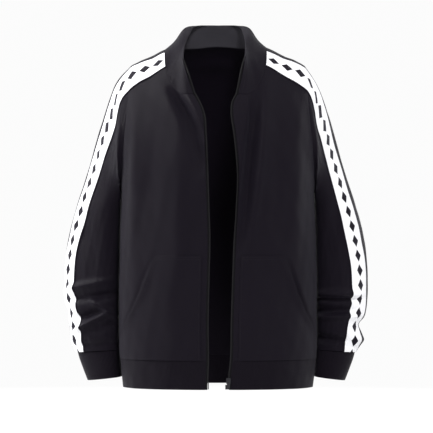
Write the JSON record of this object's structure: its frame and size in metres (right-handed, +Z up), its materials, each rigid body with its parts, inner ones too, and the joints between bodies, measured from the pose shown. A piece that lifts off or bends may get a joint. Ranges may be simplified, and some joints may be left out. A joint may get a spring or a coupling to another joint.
{
  "type": "zip track jacket",
  "caption": "Black knit jacket with a stand collar, worn open: set-in sleeves gathered above rib cuffs, a white band down each sleeve, slanted patch pockets, a hem band and a full front zip.",
  "frame": {"origin": "between the two points where the collar meets the shoulder seams, about 1 cm below them, at the height that the jacket hangs from", "axes": "the front faces -Y, +X is the wearer's left (on the right as seen from the front), and +Z points up"},
  "size_m": [0.614, 0.2613, 0.7252],
  "materials": {
    "shell_knit": "matte smooth knit with a faint sheen",
    "rib_knit": "matte fine rib knit",
    "band_knit": "matte smooth knit",
    "zip_tape": "matte woven tape",
    "zip_metal": "dark satin metal"
  },
  "bodies": {
    "jacket": {"front_right": "shell_knit", "front_left": "shell_knit", "back": "shell_knit", "hem_band": "rib_knit", "sleeve_right": "shell_knit", "sleeve_left": "shell_knit", "cuff_right": "rib_knit", "cuff_left": "rib_knit", "collar": "shell_knit", "sleeve_band_right": "band_knit", "sleeve_band_left": "band_knit", "pocket_right": "shell_knit", "pocket_left": "shell_knit", "zip_tape_right": "zip_tape", "zip_tape_left": "zip_tape", "slider": "zip_metal", "zip_box": "zip_metal", "zip_pin": "zip_metal"},
    "pull_tab": {"pull_tab": "zip_metal"}
  },
  "joints": [
    {"name": "pull_tab_hinge", "type": "hinge", "parent": "jacket", "child": "pull_tab", "pos_m": [0.02035, -0.13257, -0.647], "axis": [-1, 0, 0], "range_deg": [0, 150]}
  ]
}
